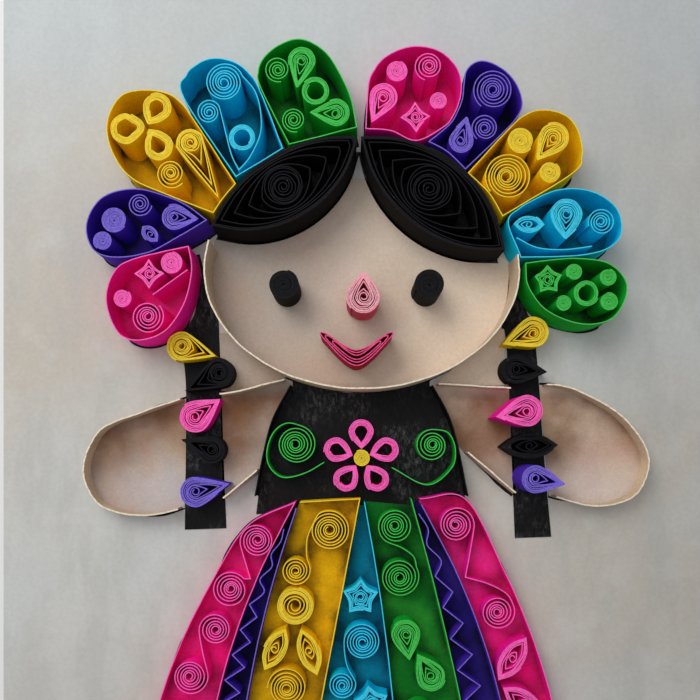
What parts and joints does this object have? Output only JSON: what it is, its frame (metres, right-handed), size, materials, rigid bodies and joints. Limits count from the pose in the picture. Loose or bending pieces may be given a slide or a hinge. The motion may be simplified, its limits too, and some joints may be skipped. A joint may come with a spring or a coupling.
{
  "type": "quilled paper doll picture",
  "caption": "Traditional rag doll drawn in quilled paper strips on a card sheet, with a petal crown, braids, a flower blouse and a flared panelled skirt.",
  "frame": {"origin": "centre of the card sheet's back face", "axes": "+X to the doll picture's right as it is seen, +Y up to the top of the head, +Z out of the sheet towards the viewer"},
  "size_m": [0.21, 0.297, 0.011],
  "materials": {
    "card_sheet": "matte ivory card",
    "paper_skin": "matte skin-tone paper",
    "paper_blush": "matte pale pink paper",
    "paper_rose": "matte rose paper",
    "paper_black": "matte black paper",
    "paper_pink": "matte hot pink paper",
    "paper_yellow": "matte yellow paper",
    "paper_blue": "matte blue paper",
    "paper_green": "matte green paper",
    "paper_purple": "matte violet paper"
  },
  "bodies": {
    "root": {"arm_rim_left": "paper_skin", "arm_rim_right": "paper_skin", "backing_sheet": "card_sheet", "blouse_scrolls": "paper_green", "blouse_strips": "paper_black", "braid_left_black": "paper_black", "braid_left_pink": "paper_pink", "braid_left_purple": "paper_purple", "braid_left_yellow": "paper_yellow", "braid_right_black": "paper_black", "braid_right_pink": "paper_pink", "braid_right_purple": "paper_purple", "braid_right_yellow": "paper_yellow", "eyes": "paper_black", "floor_black": "paper_black", "floor_blue": "paper_blue", "floor_green": "paper_green", "floor_pink": "paper_pink", "floor_purple": "paper_purple", "floor_skin": "paper_skin", "floor_yellow": "paper_yellow", "flower_centre": "paper_yellow", "flower_petals": "paper_pink", "hair_coil_left": "paper_black", "hair_coil_right": "paper_black", "head_rim": "paper_skin", "mouth": "paper_rose", "nose": "paper_blush", "petal_left_blue_coils": "paper_blue", "petal_left_blue_rim": "paper_blue", "petal_left_green_coils": "paper_green", "petal_left_green_rim": "paper_green", "petal_left_pink_coils": "paper_pink", "petal_left_pink_rim": "paper_pink", "petal_left_purple_coils": "paper_purple", "petal_left_purple_rim": "paper_purple", "petal_left_yellow_coils": "paper_yellow", "petal_left_yellow_rim": "paper_yellow", "petal_right_blue_coils": "paper_blue", "petal_right_blue_rim": "paper_blue", "petal_right_green_coils": "paper_green", "petal_right_green_rim": "paper_green", "petal_right_pink_coils": "paper_pink", "petal_right_pink_rim": "paper_pink", "petal_right_purple_coils": "paper_purple", "petal_right_purple_rim": "paper_purple", "petal_right_yellow_coils": "paper_yellow", "petal_right_yellow_rim": "paper_yellow", "skirt_blue_coils": "paper_blue", "skirt_blue_strip": "paper_blue", "skirt_green_coils": "paper_green", "skirt_green_strip": "paper_green", "skirt_pink_left_coils": "paper_pink", "skirt_pink_left_strip": "paper_pink", "skirt_pink_right_coils": "paper_pink", "skirt_pink_right_strip": "paper_pink", "skirt_purple_left_strip": "paper_purple", "skirt_purple_right_strip": "paper_purple", "skirt_yellow_coils": "paper_yellow", "skirt_yellow_strip": "paper_yellow"}
  },
  "joints": []
}
